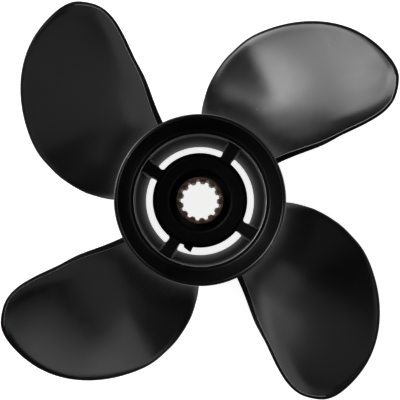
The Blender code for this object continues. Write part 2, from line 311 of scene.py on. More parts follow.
# %% Make the thin coat and the painted highlight lines
THIN_BLACK = (0.004, 0.004, 0.004)
SHELF_HIGHLIGHT_GREY = (0.44, 0.435, 0.43)
RIDGE_HIGHLIGHT_GREY = (0.28, 0.275, 0.27)
THIN_CLOUD = 2.5 * MM
THIN_GRAIN_DEPTH = 0.02 * MM
PALER = 1.4


def thin_finish(name, colour, roughness, shine, metal):
    material, tree, shader, place = new_finish(name)
    cloud = ranged(tree, noise(tree, place, THIN_CLOUD, 4.0), *WHOLE_CLOUD)
    paler = tuple(PALER * part for part in colour)
    tree.links.new(blend_colours(tree, cloud, colour, paler), shader.inputs["Base Color"])
    shader.inputs["Roughness"].default_value = roughness
    shader.inputs["Metallic"].default_value = metal
    shader.inputs["Specular IOR Level"].default_value = shine
    grain = noise(tree, place, GRAIN_SIZE, 3.0)
    tree.links.new(bumped(tree, grain, THIN_GRAIN_DEPTH), shader.inputs["Normal"])
    return material


matt_paint = thin_finish("black_paint_thin", THIN_BLACK, roughness=0.55, shine=0.1, metal=0.0)
# a pale grey painted on the shelf's inner corner as a highlight line
shelf_highlight = thin_finish("painted_shelf_highlight", SHELF_HIGHLIGHT_GREY, roughness=0.42, shine=0.5, metal=0.25)
# a pale grey painted on the blades' trailing ridge as a highlight line
ridge_highlight = thin_finish("painted_ridge_highlight", RIDGE_HIGHLIGHT_GREY, roughness=0.42, shine=0.5, metal=0.2)
print("thin coats:", matt_paint.name, shelf_highlight.name, ridge_highlight.name)

# %% [markdown]
# ## Rubber and bronze
#
# The bushing is moulded rubber: matt, with a fine skin and a faint grey bloom. The sleeve is a
# dark bronze with a broached bore. Bronze that has been handled is never one colour, so a cloud
# of two browns goes into its colour and a finer one into its roughness. Its rear face was turned
# on a lathe, and rings of fine grooves around the shaft make its highlight streaky.

# %% Make the rubber and the bronze
RUBBER_BLACK = (0.006, 0.006, 0.006)
RUBBER_BLOOM = (0.014, 0.014, 0.0135)
BLOOM_SIZE = 7.0 * MM
BLOOM_GREYS = (0.35, 0.7, 0.0, 1.0)
SKIN_SIZE = 0.8 * MM
SKIN_DEPTH = 0.04 * MM
RUBBER_GLOSS = (0.58, 0.75)
BRONZE_BROWN = (0.19, 0.105, 0.075)
BRONZE_DARK = (0.075, 0.045, 0.034)
BRONZE_METAL = 0.85
BRONZE_CLOUD = 3.0 * MM
HANDLED_SIZE = 1.2 * MM
HANDLED_DEPTH = 0.02 * MM
BRONZE_GLOSS = (0.45, 0.62)
TURNED_SPACING = 2.2 * MM
TURNED_WANDER = 0.6
TURNED_DEPTH = 0.006 * MM


def bushing_rubber():
    material, tree, shader, place = new_finish("black_rubber")
    bloom = ranged(tree, noise(tree, place, BLOOM_SIZE, 4.0), *BLOOM_GREYS)
    colour = blend_colours(tree, bloom, RUBBER_BLACK, RUBBER_BLOOM)
    tree.links.new(colour, shader.inputs["Base Color"])
    skin = noise(tree, place, SKIN_SIZE, 4.0)
    tree.links.new(ranged(tree, skin, *MOTTLE_GREYS, *RUBBER_GLOSS), shader.inputs["Roughness"])
    tree.links.new(bumped(tree, skin, SKIN_DEPTH), shader.inputs["Normal"])
    return material


def sleeve_bronze():
    material, tree, shader, place = new_finish("bronze")
    cloud = ranged(tree, noise(tree, place, BRONZE_CLOUD, 4.0), *WHOLE_CLOUD)
    colour = blend_colours(tree, cloud, BRONZE_BROWN, BRONZE_DARK)
    tree.links.new(colour, shader.inputs["Base Color"])
    shader.inputs["Metallic"].default_value = BRONZE_METAL
    fine = noise(tree, place, HANDLED_SIZE, 4.0)
    tree.links.new(ranged(tree, fine, *MOTTLE_GREYS, *BRONZE_GLOSS), shader.inputs["Roughness"])
    rings = node(tree, "TexWave", {"wave_type": "RINGS", "rings_direction": "Z"}, Vector=place,
                 Scale=1.0 / TURNED_SPACING, Distortion=TURNED_WANDER)
    normal = bumped(tree, rings.outputs["Fac"], TURNED_DEPTH)
    tree.links.new(bumped(tree, fine, HANDLED_DEPTH, normal), shader.inputs["Normal"])
    return material


rubber = bushing_rubber()
bronze = sleeve_bronze()
print("materials:", rubber.name, bronze.name)

# %% [markdown]
# ## Helpers for pieces
#
# A turned piece starts as a closed ring of profile corners in the XZ plane. `bmesh.ops.spin`
# carries it round the shaft, `use_merge` closes the seam, and `bmesh.ops.bevel` rounds the
# corners that a real casting would have rounded. The bevel comes after the spin, so that one
# call rounds a corner of the profile all the way round. Every piece ends in the same helper,
# which merges doubles, turns the faces outward and says what the piece stands for.

# %% Piece helpers
SAME_POINT = 0.002 * MM
SHARP_EDGE = radians(50.0)
SHARP_CORNER = radians(24.0)
TURNED_STEPS = 128
RING_MARGIN = 0.02
FIRST_CORNER = radians(45.0)


def finish_piece(name, builder, material, replaced, sharp_from=SHARP_EDGE):
    bmesh.ops.remove_doubles(builder, verts=builder.verts, dist=SAME_POINT)
    bmesh.ops.recalc_face_normals(builder, faces=builder.faces)
    mesh = bpy.data.meshes.new(name)
    builder.to_mesh(mesh)
    builder.free()
    mesh.shade_smooth()
    mesh.set_sharp_from_angle(angle=sharp_from)
    mesh.materials.append(material)
    piece = bpy.data.objects.new(name, mesh)
    bpy.context.scene.collection.objects.link(piece)
    weigh = piece.modifiers.new("flat_faces_stay_flat", "WEIGHTED_NORMAL")
    weigh.keep_sharp = True
    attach(piece, "root")
    if replaced:
        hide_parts(*replaced)
    print(f"{name}: {len(mesh.polygons)} faces")
    return piece


def turn_profile(profile, steps=TURNED_STEPS):
    """A bmesh of this closed profile of (radius, height) in mm, turned about the shaft."""
    builder = bmesh.new()
    corners = [builder.verts.new((radius * MM, 0.0, height * MM)) for radius, height in profile]
    for first, second in zip(corners, corners[1:] + corners[:1]):
        builder.edges.new((first, second))
    outline = builder.verts[:] + builder.edges[:]
    bmesh.ops.spin(builder, geom=outline, cent=(0, 0, 0), axis=(0, 0, 1), angle=2 * pi,
                   steps=steps, use_merge=True)
    bmesh.ops.recalc_face_normals(builder, faces=builder.faces)
    return builder


def round_edges(builder, edges, width, segments=3):
    bmesh.ops.bevel(builder, geom=edges, offset=width, segments=segments, profile=0.5,
                    affect="EDGES", material=-1, clamp_overlap=True)


def round_corners(builder, width, segments=3, sharper_than=SHARP_CORNER):
    sharp = [e for e in builder.edges if e.is_manifold and e.calc_face_angle(0.0) > sharper_than]
    round_edges(builder, sharp, width, segments)


def round_ring(builder, radius, height, width, segments=3):
    """Rounds the turned corner at this radius and height, in millimetres."""

    def on_ring(vert):
        off_radius, off_height = vert.co.xy.length / MM - radius, vert.co.z / MM - height
        return abs(off_radius) < RING_MARGIN and abs(off_height) < RING_MARGIN

    ring = [e for e in builder.edges if on_ring(e.verts[0]) and on_ring(e.verts[1])]
    round_edges(builder, ring, width * MM, segments)


def turn_piece(builder, number):
    """Turns a rib or a blade to its own corner of the four."""
    bmesh.ops.rotate(builder, verts=builder.verts, cent=(0, 0, 0),
                     matrix=Matrix.Rotation(FIRST_CORNER + number * pi / 2, 3, "Z"))


def on_circle(radius, turn, height):
    return radius * cos(radians(turn)), radius * sin(radians(turn)), height


def raise_faces(builder, distance):
    """Extrudes what is drawn into a closed block along the shaft."""
    raised = bmesh.ops.extrude_face_region(builder, geom=builder.faces[:])["geom"]
    top = [v for v in raised if isinstance(v, bmesh.types.BMVert)]
    bmesh.ops.translate(builder, verts=top, vec=(0.0, 0.0, distance))
    bmesh.ops.recalc_face_normals(builder, faces=builder.faces)


print("corners sharper than", round(degrees(SHARP_CORNER)), "degrees are rounded")

# %% [markdown]
# ## Barrel and flared ring
#
# On the real part these are one casting, although the CAD frame holds them as two nodes. Exhaust
# leaves through the barrel, and the flare at its stern keeps the gas away from the blades. One
# profile runs up the outside, over the rim, down the inside of the flare to a narrow shelf, and
# down the tapered bore, so the seam between the two CAD nodes disappears. The rim and the bore
# have finishes of their own, and the shelf's inner corner has a pale grey painted on it as a
# highlight line.

# %% Turn the barrel and the ring
BARREL_RADIUS = 41.0 * MM
SHELL_STEPS = 192
# profiles as radius and height, in millimetres
SHELL_OUTSIDE = ((41.0, 0.0), (41.0, 74.0), (41.35, 78.0), (42.1, 82.5), (43.35, 87.0),
                 (45.0, 90.6), (46.2, 92.2))
SHELL_RIM = ((46.2, 95.0), (44.3, 95.0))
SHELL_FLARE = ((41.6, 85.5), (38.95, 76.0), (36.45, 76.0))
SHELL_BORE = ((35.95, 69.5), (34.3, 31.0), (33.0, 7.0), (38.0, 7.0), (38.0, 0.0))
# radius and height of a corner, its rounding, and its segments where it has more than three
SHELL_ROUNDINGS = ((46.2, 95.0, 1.0, 5), (44.3, 95.0, 0.6), (38.95, 76.0, 0.8),
                   (36.45, 76.0, 0.45), (46.2, 92.2, 0.9), (33.0, 7.0, 0.5), (38.0, 7.0, 0.8),
                   (38.0, 0.0, 0.4), (41.0, 0.0, 0.8))
RIM_FROM = 93.7
SHELF_HIGHLIGHT_LINE = (36.7, 75.45)
BORE_WALL = (36.3, 7.3)


def shell_finish(radius, height):
    """The number of the finish on the shell's face at this radius and height."""
    if height > RIM_FROM:
        return 2
    # the shelf's inner corner carries the painted highlight line
    if radius < SHELF_HIGHLIGHT_LINE[0] and height > SHELF_HIGHLIGHT_LINE[1]:
        return 3
    return 1 if radius < BORE_WALL[0] and height > BORE_WALL[1] else 0


def make_hub_shell():
    builder = turn_profile(SHELL_OUTSIDE + SHELL_RIM + SHELL_FLARE + SHELL_BORE, SHELL_STEPS)
    for rounding in SHELL_ROUNDINGS:
        round_ring(builder, *rounding)
    shell = finish_piece("hub_shell", builder, hub_paint,
                         ["barrel", "diffuser_ring"])
    for paint in (bore_paint, rim_paint, shelf_highlight):
        shell.data.materials.append(paint)
    for face in shell.data.polygons:
        radius, height = face.center.xy.length / MM, face.center.z / MM
        face.material_index = shell_finish(radius, height)
    return shell


hub_shell = make_hub_shell()

# %% [markdown]
# ## Inner hub
#
# The inner hub is the tube that holds the rubber. Its stern end is turned in to a flange, its
# outer rim is chamfered, and a small pointed nib stands on the rim beside one rib, where the
# casting was fed or gated. The nib is a four-cornered block that dips into the tube.

# %% Turn the inner hub and add the nib
# radii and heights in millimetres, the nib's corners as radius and degrees
HUB_PROFILE = ((27.0, 8.0), (26.35, 71.8), (24.1, 74.0), (16.4, 74.0),
               (16.4, 68.0), (21.0, 68.0), (21.0, 10.0), (23.0, 8.0))
HUB_ROUNDINGS = ((26.35, 71.8, 0.7), (24.1, 74.0, 0.8), (16.4, 74.0, 2.0, 6), (27.0, 8.0, 1.0),
                 (23.0, 8.0, 0.5))
NIB_OUTLINE = ((24.0, 235.0), (27.6, 238.5), (29.5, 247.1), (24.0, 250.8))
NIB_HEIGHTS = (64.0 * MM, 72.0 * MM)
NIB_ROUND = 0.35 * MM


def make_inner_hub():
    builder = turn_profile(HUB_PROFILE)
    for rounding in HUB_ROUNDINGS:
        round_ring(builder, *rounding)
    return finish_piece("inner_hub_casting", builder, inner_paint, ["inner_hub"])


def make_nib():
    builder = bmesh.new()
    low, high = NIB_HEIGHTS
    builder.faces.new([builder.verts.new(on_circle(radius * MM, turn, low))
                       for radius, turn in NIB_OUTLINE])
    raise_faces(builder, high - low)
    round_corners(builder, NIB_ROUND, segments=2)
    return finish_piece("casting_nib", builder, inner_paint, [])


inner_hub = make_inner_hub()
nib = make_nib()

# %% [markdown]
# ## Ribs
#
# Four ribs carry the inner hub inside the barrel. Each is a plate on edge, and a casting can't
# have sharp inside corners, so it widens in a fillet where it meets either tube. A cube is
# stretched along the radius and cut into slices, which stand closest near its ends. Each slice is
# then widened to the fillet's curve, and the four long edges are rounded. The ends stay sharp,
# because they are buried in the walls.

# %% Make the four ribs
RIB_SLICES = 15
RIB_LEVELS = 4
RIB_FOOT = 10.0 * MM
RIB_TOP_OUTSIDE = 75.75 * MM
RIB_TOP_INSIDE = 74.6 * MM
RIB_REACH = (25.2 * MM, 37.2 * MM)
RIB_HALF_WIDTHS = (2.75 * MM, 3.35 * MM)
RIB_FILLETS = (1.3 * MM, 2.0 * MM)
RIB_DRAFT = tan(radians(0.7))
RIB_ROUND = 0.7 * MM
RIB_CORNER = radians(60.0)
# radius and height at the front end and at the rear end of a tapered wall, in millimetres
BORE_TAPER = ((33.0, 7.0), (36.3, 76.0))
HUB_TAPER = ((27.0, 8.0), (26.1, 74.0))


def fillet_swell(distance, radius):
    """How far a round fillet stands out from a wall at this distance from its foot."""
    gap = min(max(distance, 0.0), radius)
    return radius - sqrt(radius * radius - (radius - gap) ** 2)


def wall_radius(taper, height):
    (front_radius, front), (rear_radius, rear) = taper
    share = (height / MM - front) / (rear - front)
    return (front_radius + share * (rear_radius - front_radius)) * MM


def make_rib(number):
    builder = bmesh.new()
    bmesh.ops.create_cube(builder, size=1.0)
    bmesh.ops.translate(builder, verts=builder.verts, vec=(0.5, 0.0, 0.5))
    for axis, cuts in ((0, RIB_SLICES), (2, RIB_LEVELS)):
        uncut = [e for e in builder.edges
                 if abs(e.verts[0].co[axis] - e.verts[1].co[axis]) > 0.5]
        bmesh.ops.subdivide_edges(builder, edges=uncut, cuts=cuts, use_grid_fill=True)
    for vert in builder.verts:
        share, side, rise = vert.co.x, vert.co.y * 2.0, vert.co.z
        eased = 0.5 - 0.5 * cos(pi * share)
        radius = RIB_REACH[0] + eased * (RIB_REACH[1] - RIB_REACH[0])
        top = RIB_TOP_INSIDE + eased * (RIB_TOP_OUTSIDE - RIB_TOP_INSIDE)
        height = RIB_FOOT + rise * (top - RIB_FOOT)
        half = RIB_HALF_WIDTHS[0] + eased * (RIB_HALF_WIDTHS[1] - RIB_HALF_WIDTHS[0])
        half += fillet_swell(radius - wall_radius(HUB_TAPER, height), RIB_FILLETS[0])
        half += fillet_swell(wall_radius(BORE_TAPER, height) - radius, RIB_FILLETS[1])
        half += (top - height) * RIB_DRAFT
        vert.co = (radius, side * half, height)
    bmesh.ops.recalc_face_normals(builder, faces=builder.faces)
    long_corners = [e for e in builder.edges if e.calc_face_angle(0.0) > RIB_CORNER
                    and abs(e.verts[0].co.x - e.verts[1].co.x) > SAME_POINT]
    round_edges(builder, long_corners, RIB_ROUND)
    turn_piece(builder, number)
    return finish_piece(f"rib_{number + 1}_casting", builder, matt_paint,
                        [f"rib_{number + 1}"])


ribs = [make_rib(number) for number in range(4)]

# %% [markdown]
# ## Rubber bushing
#
# The bushing lets the sleeve slip a little if a blade strikes something. It fills the space
# between the sleeve and the inner hub, and its ends are dished where the rubber drew in as it
# was moulded and bonded.

# %% Turn the bushing
# radius and height in millimetres: the outside, the front, the inside and the rear
BUSHING_PROFILE = ((20.7, 67.7), (20.7, 13.0), (19.2, 13.6), (17.0, 15.0), (14.8, 13.8),
                   (13.2, 13.0), (13.2, 67.7), (14.6, 66.6), (16.6, 65.7), (18.8, 66.8))
BUSHING_ROUND = 0.4 * MM
BUSHING_CORNER = radians(40.0)


def make_bushing():
    builder = turn_profile(BUSHING_PROFILE)
    round_corners(builder, BUSHING_ROUND, sharper_than=BUSHING_CORNER)
    return finish_piece("bushing", builder, rubber, ["rubber_bushing"])


bushing = make_bushing()

# %% [markdown]
# ## Splined sleeve
#
# A broach cut thirteen grooves in the sleeve's bore, and the propeller shaft's splines slide
# into them. One pitch of the end face is drawn as a row of faces, spun into thirteen copies that
# merge into a ring, and extruded along the shaft. The teeth and the ends are then rounded, as on
# a sleeve that was turned and broached.

# %% Make the sleeve
SPLINES = 13
SLEEVE_HEIGHTS = (8.0 * MM, 76.0 * MM)
SLEEVE_RADIUS = 12.9 * MM
GROOVE_BOTTOM = 11.8 * MM
TOOTH_LAND = 10.3 * MM
# degrees to either side of a groove's middle
GROOVE_HALF_MOUTH = 8.0
GROOVE_HALF_BOTTOM = 4.6
SPLINE_ROUND = 0.42 * MM
SLEEVE_END_ROUND = 0.22 * MM
SLEEVE_END_CORNER = radians(70.0)


def draw_groove(builder, height):
    """The end face of one groove and the wall outside it, as a row of faces."""
    half = 180.0 / SPLINES
    inner = [(TOOTH_LAND, -half), (TOOTH_LAND, -GROOVE_HALF_MOUTH),
             (GROOVE_BOTTOM, -GROOVE_HALF_BOTTOM), (GROOVE_BOTTOM, 0.0),
             (GROOVE_BOTTOM, GROOVE_HALF_BOTTOM), (TOOTH_LAND, GROOVE_HALF_MOUTH),
             (TOOTH_LAND, half)]
    outer = [(SLEEVE_RADIUS, half * (i / 3.0 - 1.0)) for i in range(7)]
    rows = [[builder.verts.new(on_circle(radius, turn, height)) for radius, turn in line]
            for line in (inner, outer)]
    for i in range(6):
        builder.faces.new((rows[0][i], rows[1][i], rows[1][i + 1], rows[0][i + 1]))


def make_sleeve():
    builder = bmesh.new()
    low, high = SLEEVE_HEIGHTS
    draw_groove(builder, low)
    bmesh.ops.spin(builder, geom=builder.faces[:], cent=(0, 0, 0), axis=(0, 0, 1),
                   angle=2 * pi * (SPLINES - 1) / SPLINES, steps=SPLINES - 1, use_duplicate=True)
    bmesh.ops.remove_doubles(builder, verts=builder.verts, dist=SAME_POINT)
    raise_faces(builder, high - low)
    upright = [e for e in builder.edges if e.calc_face_angle(0.0) > SHARP_CORNER
               and abs(e.verts[0].co.z - e.verts[1].co.z) > SAME_POINT]
    round_edges(builder, upright, SPLINE_ROUND)
    round_corners(builder, SLEEVE_END_ROUND, segments=2, sharper_than=SLEEVE_END_CORNER)
    return finish_piece("sleeve", builder, bronze, ["splined_sleeve"])


sleeve = make_sleeve()

# %% [markdown]
# ## Blades
#
# A blade is a piece of a screw surface: seen from astern its face falls by one pitch in a full
# turn, and it leans aft by twelve degrees of rake. Its trailing edge is cupped and, near the
# root, blunt. A grid is laid on that screw surface, so the curved outline is its border, and the
# grid is extruded to give the blade its thickness. The same stations as in the CAD frame set
# the outline and the thickness, so the two agree.

# %% Blade stations
PROPELLER_RADIUS = 131.5 * MM
PITCH = 330.0 * MM
RAKE = radians(12.0)
ROOT_HEIGHT = 40.0 * MM
ROOT_FILLET = 6.0 * MM
CUP_HEIGHT = 1.2 * MM
CUP_LENGTH = 9.0 * MM
TIP_THICKNESS = 1.4 * MM
LEADING_THICKNESS = 1.6 * MM
# radius mm, trailing edge deg, leading edge deg, middle thickness mm, trailing thickness mm
STATIONS = (
    (41.0, -27.4, 32.4, 9.5, 4.4),
    (55.0, -29.2, 31.9, 8.2, 4.3),
    (66.0, -30.9, 29.5, 7.2, 4.0),
    (74.0, -31.8, 27.0, 6.6, 3.7),
    (80.0, -32.2, 24.8, 6.1, 2.6),
    (85.0, -32.3, 22.9, 5.7, 1.8),
    (92.0, -32.4, 19.7, 5.3, 1.6),
    (100.0, -32.4, 15.9, 4.7, 1.5),
    (110.0, -31.8, 9.3, 4.0, 1.5),
    (118.0, -30.3, 3.2, 3.4, 1.4),
    (125.0, -27.4, -3.4, 2.7, 1.4),
    (130.0, -23.7, -10.9, 1.9, 1.4),
    (131.5, -18.2, -18.2, 1.4, 1.4),
)


def clamped(value):
    return min(max(value, 0.0), 1.0)


def span_progress(radius):
    """0 at the root to 1 at the tip, with more and more of it to a millimetre near the tip."""
    share = (radius - BARREL_RADIUS) / (PROPELLER_RADIUS - BARREL_RADIUS)
    return asin(clamped(share)) * 2 / pi


KNOTS = [span_progress(row[0] * MM) for row in STATIONS]


def station(column, progress):
    """A column of the stations at progress 0 (root) to 1 (tip), on a smooth curve."""
    last = len(KNOTS) - 1

    def slope(i):
        before, after = max(i - 1, 0), min(i + 1, last)
        rise = STATIONS[after][column] - STATIONS[before][column]
        return rise / (KNOTS[after] - KNOTS[before])

    i = 0
    while i < last - 1 and progress > KNOTS[i + 1]:
        i += 1
    width = KNOTS[i + 1] - KNOTS[i]
    t = (progress - KNOTS[i]) / width
    start, end = STATIONS[i][column], STATIONS[i + 1][column]
    from_start = start * (2 * t**3 - 3 * t**2 + 1) + slope(i) * width * (t**3 - 2 * t**2 + t)
    return from_start + end * (3 * t**2 - 2 * t**3) + slope(i + 1) * width * (t**3 - t**2)


middle_outline = [round(station(column, 0.5), 2) for column in (1, 2)]
print("outline at mid span, degrees:", middle_outline)

# %% [markdown]
# The blade's surface is a function of a radius and an angle. It first finds how far along the
# chord the point lies, then the screw surface's height, the cup, and the thickness there. The
# face that does the work is the pressure face, and the back is offset from it along the
# section's own normal. Near the barrel both swell into the root fillet.

# %% The blade's surface
NO_CHORD = 1e-4
SECTION_FULLNESS = 0.8


def edges_at(radius):
    """The angles of the trailing and the leading edge at this radius."""
    progress = span_progress(radius)
    return radians(station(1, progress)), radians(station(2, progress))


def chord_share(radius, angle):
    """How far along the chord a point lies, from the trailing edge at 0 to the leading at 1."""
    trailing, leading = edges_at(radius)
    if leading - trailing < NO_CHORD:
        return 0.5
    return clamped((angle - trailing) / (leading - trailing))


def cup_at(radius, angle):
    """How far the cup lifts the face aft, just inside the trailing edge."""
    trailing, leading = edges_at(radius)
    chord = max(leading - trailing, 0.0) * radius
    from_trailing = max(angle - trailing, 0.0) * radius
    lift = CUP_HEIGHT * max(0.0, 1.0 - from_trailing / CUP_LENGTH) ** 2
    return lift * min(1.0, 3 * span_progress(radius)) * min(1.0, chord / (2 * CUP_LENGTH))


def thickness_at(radius, share):
    progress = span_progress(radius)
    middle, at_trailing = station(3, progress) * MM, station(4, progress) * MM
    at_leading = TIP_THICKNESS + (1.0 - progress) * (LEADING_THICKNESS - TIP_THICKNESS)
    edge = at_trailing + share * (at_leading - at_trailing)
    return edge + (4 * share * (1 - share)) ** SECTION_FULLNESS * max(0.0, middle - edge)


def blade_point(radius, angle, share, back, fall, upright):
    """A point of the back, which an upright of 1 keeps under the outline, or of the face."""
    height = ROOT_HEIGHT - angle * PITCH / (2 * pi) + (radius - BARREL_RADIUS) * tan(RAKE)
    height += cup_at(radius, angle)
    swell = fillet_swell(max(radius - BARREL_RADIUS, 0.0), ROOT_FILLET)
    angle += (2 * share - 1) * swell / radius
    offset = thickness_at(radius, share) + swell if back else fall - swell
    slope = atan(PITCH / (2 * pi * radius))
    lean = 1.0 - upright if back else 1.0
    angle -= lean * offset * sin(slope) / radius
    height -= offset * cos(slope)
    return Vector((radius * cos(angle), radius * sin(angle), height))


print("thickest at the root, mm:", round(thickness_at(BARREL_RADIUS, 0.5) / MM, 2))

# %% [markdown]
# The blade's border is one line of many points: from the root up the trailing edge, round the
# tip, and down the leading edge. The points crowd at the tip, where the line turns. Distances
# along the line are kept with it, so that a point can be found by its distance from the start.

# %% Lay the border of the blade
EDGE_STEPS = 400


def border_line():
    """Points (angle, radius) of the border, from the root's trailing corner to its leading one."""
    points = []
    for column, steps in ((1, range(EDGE_STEPS + 1)), (2, range(EDGE_STEPS - 1, -1, -1))):
        for i in steps:
            progress = i / EDGE_STEPS
            radius = BARREL_RADIUS + sin(progress * pi / 2) * (PROPELLER_RADIUS - BARREL_RADIUS)
            points.append((radians(station(column, progress)), radius))
    return points


def measured(points):
    """The distance along a line of (angle, radius) points to each of them."""
    total, sums = 0.0, [0.0]
    for (a0, r0), (a1, r1) in zip(points, points[1:]):
        middle = (r0 + r1) / 2
        total += sqrt(((a1 - a0) * middle) ** 2 + (r1 - r0) ** 2)
        sums.append(total)
    return sums


def along(points, sums, wanted):
    """The point of the line at the wanted distance along it."""
    low, high = 0, len(sums) - 1
    while high - low > 1:
        middle = (low + high) // 2
        if sums[middle] <= wanted:
            low = middle
        else:
            high = middle
    span = sums[high] - sums[low]
    t = (wanted - sums[low]) / span if span else 0.0
    return tuple(a + t * (b - a) for a, b in zip(points[low], points[high]))


border = border_line()
border_sums = measured(border)
border_length = border_sums[-1]
print("border", round(border_length / MM, 1), "mm")

# %% [markdown]
# The grid's four sides are laid on that border: the root, the trailing edge, the rounded tip and
# the leading edge. The inside follows by blending the sides, which is called a Coons patch. Rows
# then run smoothly round the tip, with no pole where they would all meet.

# %% Blend the patch between the sides
TIP_CORNERS = (0.80, 0.72)
CROWDING = 0.08

tip_sum = border_sums[EDGE_STEPS]
first_corner = tip_sum * TIP_CORNERS[0]
last_corner = border_length - (border_length - tip_sum) * TIP_CORNERS[1]


def crowded(t):
    """Crowds cells towards both ends of a side, where the surface bends most."""
    return t - CROWDING * sin(2 * pi * t)


def side_point(side, t):
    if side == "root":
        start, end = border[0][0], border[-1][0]
        return (start + t * (end - start), BARREL_RADIUS)
    if side == "trailing":
        wanted = t * first_corner
    elif side == "leading":
        wanted = border_length - t * (border_length - last_corner)
    else:
        wanted = first_corner + t * (last_corner - first_corner)
    return along(border, border_sums, wanted)


def patch_point(across, up):
    """(angle, radius) of the grid's point at this share across the chord and up the blade."""
    sides = ((1 - up, side_point("root", across)), (up, side_point("tip", across)),
             (1 - across, side_point("trailing", up)), (across, side_point("leading", up)))
    corners = (((1 - across) * (1 - up), side_point("root", 0.0)),
               (across * (1 - up), side_point("root", 1.0)),
               ((1 - across) * up, side_point("tip", 0.0)),
               (across * up, side_point("tip", 1.0)))
    return [sum(share * point[k] for share, point in sides)
            - sum(share * point[k] for share, point in corners) for k in range(2)]


middle = patch_point(0.5, 0.5)
print("the patch's middle lies at radius", round(middle[1] / MM, 1), "mm")

# %% [markdown]
# A real blade's edge is filed: the pressure face stops a millimetre or so short of the outline,
# and a narrow dark chamfer runs round outside it. Just inside the leading edge and the tip the
# face also falls away a little, and that brings the pale band near the tip. Both follow from the
# distance to the outline, so that is measured first.

# %% Measure the way to the outline
EDGE_REACH = 6.0 * MM
# a width, and the radii between which it grows from nothing, all in millimetres
TRAILING_CHAMFER = ((1.0, 72.0, 90.0), (0.6, 118.0, 130.0))
LEADING_CHAMFER = ((1.6, 50.0, 120.0),)


def ramp(value, low, high):
    """0 up to the low end, 1 from the high end; the value is in metres, the ends in mm."""
    return clamped((value / MM - low) / (high - low))


def nearest_border(radius, angle):
    """The gap to the outline, up to the edge's reach, and the number of its nearest point."""
    gap, found = EDGE_REACH, 0
    for number, (border_angle, border_radius) in enumerate(border):
        rise = radius - border_radius
        if abs(rise) < gap:
            distance = sqrt(((angle - border_angle) * radius) ** 2 + rise * rise)
            if distance < gap:
                gap, found = distance, number
    return gap, found


def way_in(number):
    """The direction square to the outline and into the blade: along the arc, and outward."""
    before, after = border[max(number - 2, 0)], border[min(number + 2, len(border) - 1)]
    along_arc, along_radius = (after[0] - before[0]) * border[number][1], after[1] - before[1]
    length = sqrt(along_arc ** 2 + along_radius ** 2)
    return along_radius / length, -along_arc / length


def chamfer_width(number):
    """How far the pressure face stops short of the outline there."""
    chamfer = TRAILING_CHAMFER if number < EDGE_STEPS else LEADING_CHAMFER
    return sum(width * MM * ramp(border[number][1], low, high) for width, low, high in chamfer)


widest = max(chamfer_width(number) for number in range(len(border)))
print("widest chamfer, mm:", round(widest / MM, 2))

# %% [markdown]
# Each point of the grid now gets a place on the back and one on the face. A Coons patch on a round
# tip squeezes the cells at its corners, so the grid is smoothed in plan first, and the points
# beside the outline then move in a little, to leave room for the bevels.

# %% Place each point of the grid
CHORD_CELLS = 44
SPAN_CELLS = 56
SMOOTHING_ROUNDS = 16
BEVEL_ROOM = 0.8 * MM
ROOM_REACH = 3.0 * MM
FALL_WIDTH = 4.5 * MM
FALL_DEPTH = 0.28 * MM
APEX_SPREAD = 46
# radii in millimetres between which the fall and the upright edge grow in
FALL_FROM = (116.0, 124.0)
UPRIGHT_FROM = (50.0, 70.0)


def moved_in(radius, angle, distance, number):
    """A point's radius and angle after it has moved this far in from the outline."""
    across, outward = way_in(number)
    return radius + distance * outward, angle + distance * across / radius


def new_grid():
    builder = bmesh.new()
    bmesh.ops.create_grid(builder, x_segments=CHORD_CELLS, y_segments=SPAN_CELLS, size=0.5)
    return builder


def lay_places():
    """For each grid point: its radius and angle on the back and the face, fall and upright."""
    builder = new_grid()
    for vert in builder.verts:
        angle, radius = patch_point(crowded(vert.co.x + 0.5), crowded(vert.co.y + 0.5))
        vert.co = (radius * cos(angle), radius * sin(angle), 0.0)
    inner = [v for v in builder.verts if not v.is_boundary]
    for _ in range(SMOOTHING_ROUNDS):
        bmesh.ops.smooth_vert(builder, verts=inner, factor=0.5, use_axis_x=True,
                              use_axis_y=True, use_axis_z=False)
    places = []
    for vert in builder.verts:
        radius, angle = vert.co.xy.length, atan2(vert.co.y, vert.co.x)
        gap, number = nearest_border(radius, angle)
        if not vert.is_boundary:
            room = BEVEL_ROOM * max(1.0 - gap / ROOM_REACH, 0.0)
            radius, angle = moved_in(radius, angle, room, number)
            gap += room
        nearness = (1.0 - gap / EDGE_REACH) ** 2
        leading = clamped((number - EDGE_STEPS) / (2 * APEX_SPREAD) + 0.5)
        fall = FALL_DEPTH * max(1.0 - gap / FALL_WIDTH, 0.0) ** 2
        if number < EDGE_STEPS:
            fall *= ramp(border[number][1], *FALL_FROM)
        places.append({
            "back": (radius, angle),
            "face": moved_in(radius, angle, chamfer_width(number) * nearness, number),
            "fall": fall,
            "upright": leading * nearness * ramp(radius, *UPRIGHT_FROM),
        })
    builder.free()
    return places


PLACES = lay_places()
print("grid points:", len(PLACES))

# %% [markdown]
# The grid becomes the pressure face. Extruding it adds the back and the strip round the border,
# which is the chamfer once its points are moved into place. The root's points dip into the
# barrel, so that no gap shows there.

# %% Raise a blade from the grid
ROOT_DEPTH = 0.9 * MM
FACE_FINISH, EDGE_FINISH, RIDGE_HIGHLIGHT_FINISH = 0, 1, 2


